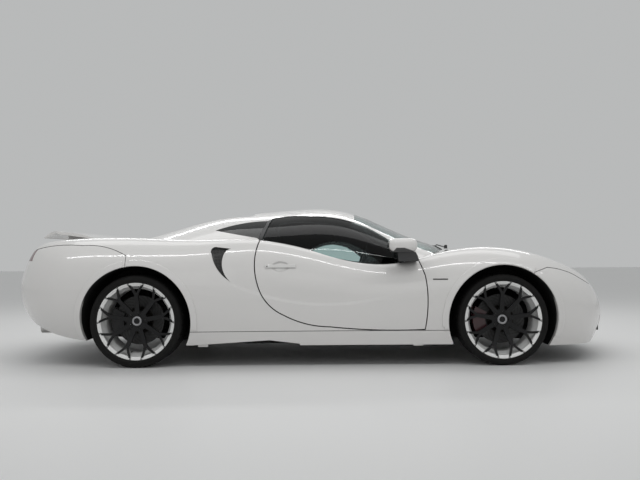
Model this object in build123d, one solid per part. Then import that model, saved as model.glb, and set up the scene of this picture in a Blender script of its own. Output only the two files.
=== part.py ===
from build123d import *
import os
from math import cos, sin, pi, radians

# A mid-engined two-seat sports car on its wheels, right at -Y, nose at +X, in millimetres.
# The floor is z = 0 and the origin lies under the middle of the overall length.
# The outer skin is two lofts, a hull and a canopy. Panels, doors and lids are cut from them where the
# real ones meet.

# ---------------------------------------------------------------- driving dimensions
LENGTH = 4560.0  # overall
WIDTH = 2034.0  # over the rear haunches
HEIGHT = 1170.0  # roof crown above the floor
FRONT_AXLE_X = 1340.0
REAR_AXLE_X = -1260.0

SKIN = 30.0  # thickness of fenders, quarters and bumpers with their inner flanges
DOOR_THICKNESS = 95.0  # outer skin to inner trim
ROOF_THICKNESS = 32.0
SEAT_GAP = 0.3  # clearance of a fixed panel or pane in its seat
PANEL_GAP = 4.0  # joint between two fixed panels
SHUT_GAP = 6.5  # clearance round lids
DOOR_GAP = 8.0  # clearance round doors
RUNNING_GAP = 0.1  # radial clearance of a pin or stub in its bore
TUB_DOOR_GAP = 12.0  # the tub's doorway is wider than the skin's
GLASS_GAP = 8.0  # clearance of the door glass in the roof
GLASS = 6.0

FLOOR_TOP = 190.0  # cabin floor
CABIN_REAR_X = -430.0
CABIN_FRONT_X = 890.0

# hull sections: x, underside height, half width there, widest half width and its height,
# half width and height of the shoulder crown, height on the centre line
HULL = [
    (-LENGTH / 2, 470, 240, 330, 560, 200, 620, 628),
    (-2250, 420, 390, 505, 560, 350, 676, 684),
    (-2180, 360, 560, 685, 555, 480, 745, 752),
    (-2070, 300, 705, 825, 550, 630, 862, 856),
    (-1900, 240, 825, 935, 550, 710, 908, 890),
    (-1600, 185, 905, 1000, 560, 745, 925, 880),
    (REAR_AXLE_X, 165, 935, WIDTH / 2, 560, 760, 922, 870),
    (-850, 155, 940, 998, 520, 780, 905, 860),
    (-400, 150, 930, 970, 480, 800, 900, 860),
    (0, 150, 925, 962, 460, 815, 822, 800),
    (575, 150, 925, 965, 470, 815, 730, 740),
    (950, 150, 930, 985, 520, 790, 808, 822),
    (FRONT_AXLE_X, 145, 930, 1012, 550, 765, 838, 800),
    (1600, 135, 905, 988, 510, 735, 795, 745),
    (1850, 130, 830, 915, 440, 670, 712, 672),
    (2030, 130, 700, 785, 390, 560, 622, 592),
    (2150, 145, 470, 610, 360, 420, 525, 512),
    (2230, 170, 300, 430, 345, 280, 450, 445),
    (LENGTH / 2, 215, 200, 300, 330, 170, 392, 398),
]

# canopy sections, half ellipses: x, half width at the base, crown height
CANOPY_BASE = 690.0
CANOPY = [
    (1060, 620, 790),
    (1014, 680, 837),
    (836, 800, 911),
    (575, 852, 1022),
    (306, 868, 1131),
    (0, 872, HEIGHT),
    (-330, 870, 1150),
    (-660, 850, 1130),
    (-830, 835, 1100),
    (-1083, 805, 1026),
    (-1269, 775, 972),
    (-1500, 740, 910),
    (-1700, 700, 850),
]

# of each axle: its x, its wheels' middle y, and the tyre's radius and width;
# then the arch's radius and the y of the well's inner wall
TYRE_FRONT_R = 322.0
TYRE_REAR_R = 328.0
AXLES = {
    "front": dict(x=FRONT_AXLE_X, y=835.0, r=TYRE_FRONT_R, w=245.0, arch=390.0, wall=500.0),
    "rear": dict(x=REAR_AXLE_X, y=825.0, r=TYRE_REAR_R, w=285.0, arch=392.0, wall=560.0),
}


# ---------------------------------------------------------------- curves and small solids
def at(x, point):
    return Vector(x, point[0], point[1])


def tangent_arc(x, start, end, direction):
    """Arc in the plane at x that leaves start along direction."""
    return Edge.make_tangent_arc(at(x, start), Vector(0, *direction), at(x, end))


def ellipse_arc(x, centre, half_width, height, first, last):
    """Part of an upright ellipse in the plane at x, angles from +Y towards +Z."""
    if half_width >= height:
        plane = Plane(origin=at(x, centre), x_dir=(0, 1, 0), z_dir=(1, 0, 0))
        return Edge.make_ellipse(half_width, height, plane, first, last)
    plane = Plane(origin=at(x, centre), x_dir=(0, 0, 1), z_dir=(1, 0, 0))
    return Edge.make_ellipse(height, half_width, plane, first - 90, last - 90)


def hull_wire(x, low_z, low_y, side_y, side_z, crown_y, crown_z, mid_z):
    """Closed section: flat underside, swelling side, shoulder and a shallow valley between the shoulders."""
    turn = (crown_z + mid_z) / 2
    edges = [Edge.make_line(at(x, (-low_y, low_z)), at(x, (low_y, low_z)))]
    edges += [tangent_arc(x, (side_y, side_z), (low_y, low_z), (0, -1))]
    edges += [ellipse_arc(x, (crown_y, side_z), side_y - crown_y, crown_z - side_z, 0, 90)]
    edges += [tangent_arc(x, (crown_y, crown_z), (crown_y / 2, turn), (-1, 0))]
    edges += [tangent_arc(x, (0, mid_z), (crown_y / 2, turn), (1, 0))]
    edges += [tangent_arc(x, (0, mid_z), (-crown_y / 2, turn), (-1, 0))]
    edges += [tangent_arc(x, (-crown_y, crown_z), (-crown_y / 2, turn), (1, 0))]
    edges += [ellipse_arc(x, (-crown_y, side_z), side_y - crown_y, crown_z - side_z, 90, 180)]
    edges += [tangent_arc(x, (-side_y, side_z), (-low_y, low_z), (0, -1))]
    return Wire(edges)


def hull_solid(side=0.0, top=0.0, drop=0.0):
    """The hull loft, taken in at its sides and ends and at its top, and let down at its underside."""
    shrink = 1 - 2 * side / LENGTH
    wires = []
    for x, low_z, low_y, side_y, side_z, crown_y, crown_z, mid_z in HULL:
        low = (low_z - drop, low_y - side)
        widest = (side_y - side, side_z)
        crown = (crown_y - side, crown_z - top)
        wires.append(hull_wire(x * shrink, *low, *widest, *crown, mid_z - top))
    return Solid.make_loft(wires)


def canopy_solid(inset=0.0):
    """The canopy loft, taken in by a distance all over."""
    wires = []
    for x, half, crown in CANOPY:
        base = (0, CANOPY_BASE)
        half, rise = half - inset, crown - inset - CANOPY_BASE
        line = Edge.make_line(at(x, (-half, CANOPY_BASE)), at(x, (half, CANOPY_BASE)))
        arcs = [ellipse_arc(x, base, half, rise, start, start + 90) for start in (0, 90)]
        wires.append(Wire([line] + arcs))
    return Solid.make_loft(wires)


def box(x, y, z):
    """Box between the two ends of each range."""
    size = [b - a for a, b in (x, y, z)]
    middle = [(a + b) / 2 for a, b in (x, y, z)]
    return Pos(*middle) * Box(*size)


def across(face, y_from, y_to):
    """A face drawn in X and Z, carried from one y to another."""
    return Pos(0, y_from, 0) * extrude(face, amount=y_to - y_from, dir=(0, 1, 0))


def upward(face, z_from, z_to):
    """A face drawn in X and Y, carried from one z to another."""
    return Pos(0, 0, z_from) * extrude(face, amount=z_to - z_from, dir=(0, 0, 1))


def side_face(points):
    """Face in the XZ plane. Each point is (x, z), or (x, z, x, z): an arc's middle and its end."""
    return outline_face(points, lambda u, v: Vector(u, 0, v))


def plan_face(points):
    """Face in the XY plane, given as for side_face."""
    return outline_face(points, lambda u, v: Vector(u, v, 0))


def outline_face(points, place):
    last = place(*points[0][-2:])
    first, edges = last, []
    for point in list(points[1:]) + [points[0]]:
        end = place(*point[-2:])
        if len(point) == 4:
            edges.append(Edge.make_three_point_arc(last, place(*point[:2]), end))
        elif (end - last).length > 1e-6:
            edges.append(Edge.make_line(last, end))
        last = end
    return Face(Wire(edges))


def grown(face, distance):
    """The face with its outline moved outwards."""
    return offset(face, amount=distance, kind=Kind.ARC).faces()[0]


def mirrored(shape):
    return mirror(shape, about=Plane.XZ)


def cylinder_y(x, z, radius, y_from, y_to):
    middle = (y_from + y_to) / 2
    return Pos(x, middle, z) * Rot(90, 0, 0) * Cylinder(radius, abs(y_to - y_from))


def cylinder_z(x, y, radius, z_from, z_to):
    return Pos(x, y, (z_from + z_to) / 2) * Cylinder(radius, z_to - z_from)


def cylinder_x(y, z, radius, x_from, x_to):
    return Pos((x_from + x_to) / 2, y, z) * Rot(0, 90, 0) * Cylinder(radius, abs(x_to - x_from))


# ---------------------------------------------------------------- outlines of the openings and joints
FAR = 1300.0  # beyond the body on every side

# right door, seen from the side; its outline runs on above the shoulder
DOOR = side_face(
    [
        (782, 262),
        (800, 470, 786, 640),
        (752, 744),
        (745, 960),
        (-366, 960),
        (-392, 884),
        (-417, 706, -396, 586),
        (-328, 455, -212, 369),
        (-63, 309, 112, 285),
        (400, 262, 782, 262),
    ]
)
DOOR_GLASS = side_face(
    [
        (735, 700),
        (735, 812),
        (650, 856, 550, 895),
        (276, 1037, -15, 1080),
        (-170, 1085, -318, 1066),
        (-378, 884),
        (-378, 700),
    ]
)
QUARTER_GLASS = side_face([(-352, 1052), (-560, 1030, -742, 978), (-600, 950, -408, 915)])
SIDE_INTAKE = side_face(
    [
        (-590, 838),
        (-618, 828, -640, 800),
        (-650, 720, -588, 605),
        (-680, 690, -728, 800),
        (-720, 846, -690, 850),
    ]
)
# windscreen, bonnet and engine cover, seen from above
WINDSCREEN = plan_face(
    [
        (312, -478),
        (590, -605),
        (840, -655),
        (1100, -640),
        (1100, 640),
        (840, 655),
        (590, 605),
        (312, 478),
        (326, 0, 312, -478),
    ]
)
BONNET_REAR_X = 1070.0
BONNET_FRONT_X = 1975.0
BONNET = plan_face(
    [
        (BONNET_REAR_X - 12, -560),
        (1500, -600, BONNET_FRONT_X - 60, -430),
        (BONNET_FRONT_X + 22, 0, BONNET_FRONT_X - 60, 430),
        (1500, 600, BONNET_REAR_X - 12, 560),
        (BONNET_REAR_X + 12, 0, BONNET_REAR_X - 12, -560),
    ]
)
TROUGH_HALF = 385.0  # half width of the trough between the buttresses
TROUGH = side_face([(-300, 1250), (-300, 1154), (-466, 1120), (-575, 946), (-1640, 886), (-1640, 1250)])
COVER_FRONT_X = -600.0
COVER_REAR_X = -1960.0
COVER_HALF = TROUGH_HALF - 7
ENGINE_COVER = plan_face(
    [
        (COVER_FRONT_X, -COVER_HALF),
        (COVER_FRONT_X, COVER_HALF),
        (-1600, COVER_HALF),
        (-1760, 470),
        (COVER_REAR_X + 40, 500),
        (COVER_REAR_X - 10, 0, COVER_REAR_X + 40, -500),
        (-1760, -470),
        (-1600, -COVER_HALF),
    ]
)
COVER_UNDERSIDE = side_face([(-500, 920), (-1640, 860), (-2100, 825), (-2100, 300), (-500, 300)])
COVER_ROOM = side_face([(-500, 911), (-1640, 851), (-2100, 816), (-2100, FAR), (-500, FAR)])
# bays of the tub, as ranges of x, y and z
LUGGAGE_BAY = ((1100, 1800), (-430, 430), (300, FAR))
ENGINE_BAY = ((-1690, -520), (-500, 500), (230, FAR))

# bumper joints, seen from the side
REAR_JOINT = side_face(
    [(-1330, 0), (-1330, 792), (-1446, 842, -1660, 866), (-1860, 868, -2060, 836), (-2400, 836), (-2400, 0)]
)
FRONT_JOINT = side_face(
    [
        (1560, 0),
        (1560, 655),
        (1664, 688),
        (1810, 662, 1950, 602),
        (2040, 560),
        (2400, 560),
        (2400, 0),
    ]
)
SILL_TOP = 250.0
FENDER_REAR_X = 700.0
SILL_FRONT_X = 985.0
SILL_REAR_X = -905.0
BUMPER_SOLID_X = 2100.0  # beyond this the bumpers are solid foam and beam
TUB_ENDS = (-1990.0, 1990.0)

# lamps, mouth and pipes
HEADLAMP = plan_face(
    [(1655, -722), (1800, -716, 1945, -600), (1930, -560, 1880, -560), (1740, -640, 1655, -722)]
)
MOUTH = dict(half=255.0, low=238.0, high=345.0)
DUCT = dict(inner=420.0, outer=570.0, low=205.0, high=320.0)
DOOR_HINGE = (740.0, -948.0)
DOOR_HINGE_Z = (400.0, 500.0)
DOOR_PIN_R = 4.0
HINGE_ROOM_R = 118.0  # the plate's room behind the door's outer skin
HINGE_EYE_ROOM_R = 17.0  # and round its eye, through to the skin
# hinge plate in plan from its pin: inwards round the door's front edge, then forward to the pillar
HINGE_PLATE = [(6, 2), (-16, 68), (72, 68), (90, 68), (90, 82), (-35, 82), (-7, -3)]
BONNET_HINGE = (1072.0, 812.0)
COWL_RELIEF = 27.0  # room round the bonnet's hinge line for its rear edge
COWL_HALF = 585.0
COVER_HINGE = (-608.0, 934.0)
HINGE_PIN_R = 5.0
PLATE_X, PLATE_Z, PLATE_BOLTS, PLATE_BOLT_R = -2266.0, 545.0, 305.0, 3.0
TOW_EYE_Y, TOW_EYE_Z, TOW_EYE_R = 150.0, 364.0, 8.0
JACK_PADS_X = (-790.0, 740.0)
JACK_PAD_Z = 142.0
TAIL_LAMPS = ((640.0, 768.0, 54.0), (512.0, 742.0, 54.0))  # y, z, radius
LENS = 25.0  # depth of a lamp from its lens to its back
PIPE_Y, PIPE_Z, PIPE_R = 480.0, 250.0, 45.0
SILENCER_REAR_X, SILENCER_HALF, SILENCER_Z = -2110.0, 460.0, (270.0, 470.0)
SILENCER_GAP = 6.0


# ---------------------------------------------------------------- shared solids
def cut(shape, *tools):
    for tool in tools:
        shape = shape - tool
    return shape


def both(shape):
    """A right-hand solid and its left-hand mirror image, as one part."""
    return Compound(list(shape.solids()) + list(mirrored(shape).solids()))


def biggest(shape, count=1):
    solids = sorted(shape.solids(), key=lambda s: -s.volume)[:count]
    return solids[0] if count == 1 else Compound(solids)


def rod(start, end, radius):
    start, end = Vector(*start), Vector(*end)
    span = end - start
    return Plane(origin=start, z_dir=span) * extrude(Circle(radius), amount=span.length)


hull = hull_solid()
canopy = canopy_solid()
interior = box((CABIN_REAR_X, CABIN_FRONT_X), (-FAR, FAR), (FLOOR_TOP, FAR))
canopy_room = canopy_solid(ROOF_THICKNESS) & interior
door_core = hull_solid(DOOR_THICKNESS, 20, 2)
cabin = (door_core & interior) + canopy_room
panel_core = hull_solid(SKIN, SKIN, 2) & box((-BUMPER_SOLID_X - 20, BUMPER_SOLID_X), (-FAR, FAR), (0, FAR))
tub_envelope = hull_solid(SKIN + SEAT_GAP, SKIN + SEAT_GAP) & box(TUB_ENDS, (-FAR, FAR), (0, FAR))
over_hull = hull_solid(-SEAT_GAP, -SEAT_GAP)

wells = {}
for end, axle in AXLES.items():
    for side in (1, -1):
        wells[end, side] = cylinder_y(axle["x"], axle["r"], axle["arch"], side * axle["wall"], side * FAR)

SILL_NOTCH = side_face([(-858, 100), (-858, 156), (-318, 188), (-101, 161), (-101, 100)])
sill_notch = across(SILL_NOTCH, -FAR, -800)
skin = cut(hull - panel_core, canopy_room)
right_skin = skin & box((-2400, 2400), (-FAR, 0), (0, FAR))
door_hole = across(grown(DOOR, DOOR_GAP), -FAR, -480)
bonnet_hole = upward(grown(BONNET, SHUT_GAP), 450, FAR) + box((1050, 1100), (-560, 560), (450, FAR))
cover_hole = upward(grown(ENGINE_COVER, SHUT_GAP), 600, FAR)
headlamp_hole = upward(HEADLAMP, 500, FAR)


# ---------------------------------------------------------------- body panels
def front_bumper():
    """Nose and its lower corners, with the mouth and two brake ducts through its solid front."""
    shape = cut(skin & across(FRONT_JOINT, -FAR, FAR), wells["front", 1], wells["front", -1], bonnet_hole)
    shape -= box((1900, 2400), (-MOUTH["half"], MOUTH["half"]), (MOUTH["low"], MOUTH["high"]))
    for side in (1, -1):
        ends = sorted((side * DUCT["inner"], side * DUCT["outer"]))
        shape -= box((1900, 2400), ends, (DUCT["low"], DUCT["high"]))
    shape = cut(shape, headlamp_hole, mirrored(headlamp_hole))
    return biggest(shape - cylinder_x(TOW_EYE_Y, TOW_EYE_Z, TOW_EYE_R, 2210, 2400))


def rear_bumper():
    """Tail and its lower corners, with recesses for the round lamps and notches for the pipes."""
    shape = cut(skin & across(REAR_JOINT, -FAR, FAR), wells["rear", 1], wells["rear", -1], cover_hole)
    for y, z, r in TAIL_LAMPS:
        for side in (1, -1):
            shape -= cylinder_x(side * y, z, r, TUB_ENDS[0], -2400)
    for side in (1, -1):
        shape -= cylinder_x(side * PIPE_Y, PIPE_Z, PIPE_R + 7, -1800, -2400)
        shape -= cylinder_x(side * PLATE_BOLTS / 2, PLATE_Z, PLATE_BOLT_R, PLATE_X, PLATE_X + 30)
    shape -= box((-2400, PLATE_X), (-268, 268), (PLATE_Z - 60, PLATE_Z + 60))
    half, (low, high) = SILENCER_HALF + SILENCER_GAP, SILENCER_Z
    shape -= box((SILENCER_REAR_X - SILENCER_GAP, TUB_ENDS[0]), (-half, half), (low, high + SILENCER_GAP))
    return biggest(shape)


def fender():
    """Right front fender with its half of the cowl, from the door to the headlamp."""
    region = box((FENDER_REAR_X, 2100), (-FAR, -PANEL_GAP / 2), (SILL_TOP + PANEL_GAP, FAR))
    region = cut(region, across(grown(FRONT_JOINT, PANEL_GAP), -FAR, FAR), door_hole)
    region -= across(side_face([(690, 0), (752, 744), (745, 960), (690, 960)]), -FAR, 0)
    shape = cut(right_skin & region, wells["front", -1], bonnet_hole, headlamp_hole)
    return biggest(shape)


def sill():
    region = box((SILL_REAR_X, SILL_FRONT_X), (-FAR, -600), (0, SILL_TOP))
    shape = cut(right_skin & region, wells["front", -1], wells["rear", -1], door_hole)
    shape -= sill_notch
    for x in JACK_PADS_X:
        shape += box((x - 35, x + 35), (-924, -912), (JACK_PAD_Z, 163))
    return biggest(shape)


def quarter():
    """Right rear quarter: haunch, shoulder and deck beside the engine cover, with the side intake."""
    region = box((-2400, -372), (-FAR, -PANEL_GAP / 2), (SILL_TOP + PANEL_GAP, FAR))
    region += box((-380, SILL_FRONT_X), (-FAR, -700), (SILL_TOP + PANEL_GAP, 560))
    region = cut(region, across(grown(REAR_JOINT, PANEL_GAP), -FAR, FAR), door_hole, cover_hole)
    region -= box((FENDER_REAR_X - PANEL_GAP, 2400), (-FAR, FAR), (0, FAR))
    region -= box((-600, -330), (-TROUGH_HALF, 0), (0, FAR))
    shape = cut(right_skin & region, wells["rear", -1], across(SIDE_INTAKE, -FAR, -500))
    return biggest(shape)


def bonnet():
    shape = (hull & upward(BONNET, 450, FAR)) - hull_solid(22, 22)
    x, z = BONNET_HINGE
    for side in (1, -1):
        shape += box((x - 6, x + 26), sorted((side * 400, side * 500)), (z - 8, z + 4))
        shape -= box((x - 60, x + 16), sorted((side * 432, side * 468)), (z - 60, z + 60))
        shape -= cylinder_y(x, z, HINGE_PIN_R + RUNNING_GAP, side * 415, side * 485)
    return biggest(shape)


def door():
    """Right door below the waist, hollowed for the glass above its inner trim."""
    shape = (hull & across(DOOR, -FAR, -480)) - door_core
    shape -= canopy_solid(-SEAT_GAP)
    x, y = DOOR_HINGE
    for z in DOOR_HINGE_Z:
        outer_skin = box((x - 200, x + 200), (-FAR, y + 6), (z - 30, z + 30))
        shape -= cylinder_z(x, y, HINGE_ROOM_R, z - 14, z + 14) - outer_skin
        shape -= cylinder_z(x, y, HINGE_EYE_ROOM_R, z - 14, z + 14)
        shape -= cylinder_z(x, y, DOOR_PIN_R + RUNNING_GAP, z - 35, z + 35)
    return biggest(shape)


def roof_frame():
    """Roof, pillars, buttresses and the slope that holds the rear window."""
    shape = canopy - canopy_room - over_hull
    glass_hole = across(grown(DOOR_GLASS, GLASS_GAP), -FAR, -300)
    shape = cut(shape, glass_hole, mirrored(glass_hole), upward(grown(WINDSCREEN, SEAT_GAP), 500, FAR))
    shape -= across(TROUGH, -TROUGH_HALF, TROUGH_HALF)
    quarter_hole = across(grown(QUARTER_GLASS, SEAT_GAP), -FAR, -300)
    shape = cut(shape, quarter_hole, mirrored(quarter_hole))
    shape -= REAR_WINDOW_FRAME * Box(700, 660, REAR_WINDOW_HEIGHT)
    shape -= cover_hole
    x, z = COVER_HINGE
    for side in (1, -1):
        arm = box((x - 8, -570), sorted((side * 300, side * 320)), (z - 8, z + 6))
        shape += arm + cylinder_y(x, z, HINGE_PIN_R, side * 288, side * 332)
    return biggest(shape)


# the rear window lies in the slope from (-460, 1128) to (-575, 946)
REAR_WINDOW_HEIGHT = 160.0
REAR_WINDOW_FRAME = Pos(-512, 0, 1034) * Rot(0, 32.1, 0)


def engine_cover():
    """Lid between the buttresses and over the tail deck."""
    shape = (hull + canopy) & upward(ENGINE_COVER, 700, FAR)
    shape = cut(shape, across(TROUGH, -TROUGH_HALF, TROUGH_HALF), across(COVER_UNDERSIDE, -FAR, FAR))
    x, z = COVER_HINGE
    for side in (1, -1):
        shape -= box((x - 16, x + 60), sorted((side * 292, side * 328)), (z - 60, z + 60))
        shape -= cylinder_y(x, z, HINGE_PIN_R + RUNNING_GAP, side * 280, side * 340)
    return biggest(shape)


def spoiler():
    """Low bridge over the tail, open underneath, on two feet that stand on the engine cover."""
    blade = side_face(
        [
            (-1700, 935),
            (-1790, 962, -1930, 975),
            (-2050, 975, -2105, 938),
            (-2098, 932),
            (-2045, 958, -1930, 957),
            (-1800, 940, -1700, 925),
        ]
    )
    shape = across(blade, -560, 560)
    for side in (1, -1):
        shape -= cylinder_z(-2120, side * 620, 170, 900, 1000)
        ends = sorted((side * 400, side * 424))
        shape += across(side_face([(-1930, 965), (-1760, 945), (-1740, 850), (-1900, 850)]), *ends)
    return biggest(shape - over_hull)


def tub():
    """Chassis behind the outer panels: floor, rockers, bulkheads, inner wings and the walls of both bays."""
    doorway = across(grown(DOOR, TUB_DOOR_GAP), -FAR, -480)
    shape = cut(tub_envelope, cabin, *wells.values())
    shape = cut(shape, doorway, mirrored(doorway), sill_notch, mirrored(sill_notch))
    shape = cut(shape, box(*LUGGAGE_BAY), box(*ENGINE_BAY))
    shape -= cover_hole & across(COVER_ROOM, -FAR, FAR)
    x, z = BONNET_HINGE
    shape -= box((x - COWL_RELIEF, x + COWL_RELIEF), (-COWL_HALF, COWL_HALF), (z - COWL_RELIEF, FAR))
    hinge_x, hinge_y = DOOR_HINGE
    for side in (1, -1):
        shape -= cylinder_x(side * PIPE_Y, PIPE_Z, PIPE_R + SEAT_GAP, -1800, -2400)
        shape += box((x - 8, x + 8), sorted((side * 440, side * 460)), (z - 60, z + 5))
        shape += cylinder_y(x, z, HINGE_PIN_R, side * 425, side * 475)
        for hinge_z in DOOR_HINGE_Z:
            plate = plan_face([(hinge_x + u, hinge_y + v) for u, v in HINGE_PLATE])
            plate = upward(plate, hinge_z - 8, hinge_z + 8)
            plate += cylinder_z(hinge_x, hinge_y, 8, hinge_z - 8, hinge_z + 8)
            plate += cylinder_z(hinge_x, hinge_y, DOOR_PIN_R, hinge_z - 30, hinge_z + 30)
            shape += plate if side < 0 else mirrored(plate)
    return biggest(shape)


def tub_part(x_from, x_to):
    return biggest(chassis & box((x_from, x_to), (-FAR, FAR), (0, FAR)))


# ---------------------------------------------------------------- glass and lamps
def shell_of_canopy(outline):
    return (canopy - canopy_solid(GLASS)) & outline


def door_window():
    return biggest(shell_of_canopy(across(DOOR_GLASS, -FAR, -300)))


def fixed_windows():
    """Windscreen, rear window and the two quarter panes."""
    screen = biggest(shell_of_canopy(upward(WINDSCREEN, 500, FAR)) - over_hull)
    pane = REAR_WINDOW_FRAME * Box(GLASS, 659.4, REAR_WINDOW_HEIGHT - 2 * SEAT_GAP)
    side = shell_of_canopy(across(QUARTER_GLASS, -FAR, -300)) - over_hull
    return Compound([screen, pane.solid()] + list(both(biggest(side)).solids()))


def headlamps():
    lens = (hull & upward(grown(HEADLAMP, -SEAT_GAP), 500, FAR)) - hull_solid(LENS, LENS)
    return both(biggest(lens))


def tail_lamps():
    lamps = []
    for y, z, r in TAIL_LAMPS:
        lamp = (cylinder_x(-y, z, r - SEAT_GAP, TUB_ENDS[0], -2400) & hull) - hull_solid(LENS, LENS)
        lamps += list(both(biggest(lamp)).solids())
    return Compound(lamps)


def grilles():
    """Slats across the mouth, and a plate in each brake duct and side intake."""
    x = (2225, 2245)
    half, low, high = MOUTH["half"] - SEAT_GAP, MOUTH["low"] + SEAT_GAP, MOUTH["high"] - SEAT_GAP
    shape = box(x, (-half, half), (low, high))
    for k in range(4):
        z = low + 10 + k * 26
        shape -= box((2200, 2300), (-half + 10, -6), (z, z + 18))
        shape -= box((2200, 2300), (6, half - 10), (z, z + 18))
    width = (DUCT["inner"] + SEAT_GAP, DUCT["outer"] - SEAT_GAP)
    height = (DUCT["low"] + SEAT_GAP, DUCT["high"] - SEAT_GAP)
    plate = box((2150, 2156), width, height)
    side_plate = hull_solid(12, 12) & across(grown(SIDE_INTAKE, -SEAT_GAP), -FAR, -500)
    side_plate -= hull_solid(20, 20)
    plates = list(both(plate).solids()) + list(both(biggest(side_plate)).solids())
    return Compound([shape.solid()] + plates)


def exhaust():
    shape = box((SILENCER_REAR_X, TUB_ENDS[0] - SEAT_GAP), (-SILENCER_HALF, SILENCER_HALF), SILENCER_Z)
    for side in (1, -1):
        shape += cylinder_x(side * PIPE_Y, PIPE_Z, PIPE_R, -1820, -2080)
    return shape


def wipers():
    """Two wipers parked on the foot of the windscreen."""
    strips = upward(plan_face([(1030, -430), (985, 60), (997, 62), (1042, -428)]), 600, FAR)
    strips += upward(plan_face([(1030, 90), (965, 520), (977, 522), (1042, 92)]), 600, FAR)
    layer = (canopy_solid(-12) & strips) - canopy_solid(-SEAT_GAP) - over_hull
    return biggest(layer, 2)


# ---------------------------------------------------------------- wheels and their carriers
# offsets along the axle are measured inwards from the wheel's middle
RIM_R = 273.0
DISC_R = 176.0
STUB_R = 44.0
SPOKES = 9
LUGS = 5
KINGPIN_IN = 65.0  # kingpin behind the wheel's middle
KINGPIN_R = 10.0


def turned(points):
    """Ring turned about the axle from a closed outline of (radius, offset) points."""
    return revolve(Face(Wire.make_polygon([Vector(r, y, 0) for r, y in points], close=True)), Axis.Y, 360)


def tyre(axle):
    r, w = axle["r"], axle["w"]
    half = w / 2
    rim = half - 8
    points = [(256.4, -rim + 14.6), (273.4, -rim + 8.4), (273.4, -rim - 0.4)]
    points += [(282, -half + 1.5), (300, -half)]
    points += [(r - 12, -half + 5), (r - 3, -half + 15), (r, -half + 28)]
    for k in (-0.27, -0.09, 0.09, 0.27):
        y = k * w
        points += [(r, y - 5), (r - 6, y - 4), (r - 6, y + 4), (r, y + 5)]
    points += [(r, half - 28), (r - 3, half - 15), (r - 12, half - 5)]
    points += [(300, half), (282, half - 1.5), (273.4, rim + 0.4), (273.4, rim - 8.4), (256.4, rim - 14.6)]
    return turned(points)


def turned_about_axle(point, turn):
    """A point (u, v) of a spoke, or an arc's middle and end, carried round the hub."""
    pairs = zip(point[::2], point[1::2])
    return sum(((u * cos(turn) - v * sin(turn), u * sin(turn) + v * cos(turn)) for u, v in pairs), ())


def wheel(axle):
    """Cast rim with a drop centre, forked spokes, a hub with sockets for its nuts and a centre cap."""
    half = axle["w"] / 2 - 8
    mount = -30.0 if axle["x"] > 0 else -44.0
    rim = [(RIM_R, -half), (RIM_R, -half + 8), (256, -half + 14), (252, -half + 40), (236, -half + 70)]
    rim += [(236, half - 50), (254, half - 14), (RIM_R, half - 8), (RIM_R, half)]
    rim += [(246, half), (246, half - 12)]
    rim += [(228, half - 48), (228, -half + 72), (246, -half + 36), (250, -half + 10), (267, -half)]
    shape = turned(rim)
    dish = [(40, -half + 44), (120, -half + 34), (190, -half + 15), (262, -half + 1), (268, -half + 3)]
    dish += [(266, -half + 8), (252, -half + 13), (190, -half + 38), (120, -half + 56), (40, -half + 70)]
    # one spoke along u: its stem, the outer edge of each branch as an arc, and the crotch of the fork
    spoke = [(50, -17), (185, -13), (226, -35, 261, -61), (264, -46), (228, -17, 196, 0)]
    spoke += [(228, 17, 264, 46), (261, 61), (226, 35, 185, 13), (50, 17)]
    star = None
    for k in range(SPOKES):
        turn = radians(360 * k / SPOKES + 90)
        prism = across(side_face([turned_about_axle(point, turn) for point in spoke]), -half, 0)
        star = prism if star is None else star + prism
    shape += star & turned(dish)
    hub = cylinder_y(0, 0, 74, -half + 42, mount)
    for k in range(LUGS):
        turn = 2 * pi * k / LUGS
        hub -= cylinder_y(57 * cos(turn), 57 * sin(turn), 14, -half + 30, -half + 52)
        hub += cylinder_y(57 * cos(turn), 57 * sin(turn), 9.5, -half + 36, -half + 60)
    hub += cylinder_y(0, 0, 32, -half + 34, -half + 60)
    return shape + hub


def disc(axle):
    mount = -30.0 if axle["x"] > 0 else -44.0
    shape = cylinder_y(0, 0, 82, mount + SEAT_GAP, -6) + cylinder_y(0, 0, DISC_R, -8, 24)
    return shape + cylinder_y(0, 0, STUB_R, 20, 70)


def carrier(axle):
    """Hub carrier with its caliper, for the right side."""
    ring = cylinder_y(0, 0, 70, 34, 88) + Pos(0, KINGPIN_IN, 7.5) * Box(44, 30, 215)
    sector = side_face([(0, 0), (-260, -130), (-260, 130)])
    caliper = (cylinder_y(0, 0, 200, -36, 54) - cylinder_y(0, 0, 112, -60, 80)) & across(sector, -60, 80)
    caliper -= cylinder_y(0, 0, DISC_R + 6, -14, 30)
    bracket = box((-125, -40), (36, 52), (-35, 35))
    shape = ring + caliper + bracket
    for low, high in ((-101, -78), (94, 116)):
        shape -= cylinder_z(0, KINGPIN_IN, KINGPIN_R + RUNNING_GAP, low, high)
    return shape - cylinder_y(0, 0, STUB_R + RUNNING_GAP, 0, 75)


def place(axle, shape, side):
    """Carry a right-hand wheel piece to its axle, mirrored for the left."""
    shape = Pos(axle["x"], -axle["y"], axle["r"]) * shape
    return shape if side < 0 else mirrored(shape)


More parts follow.
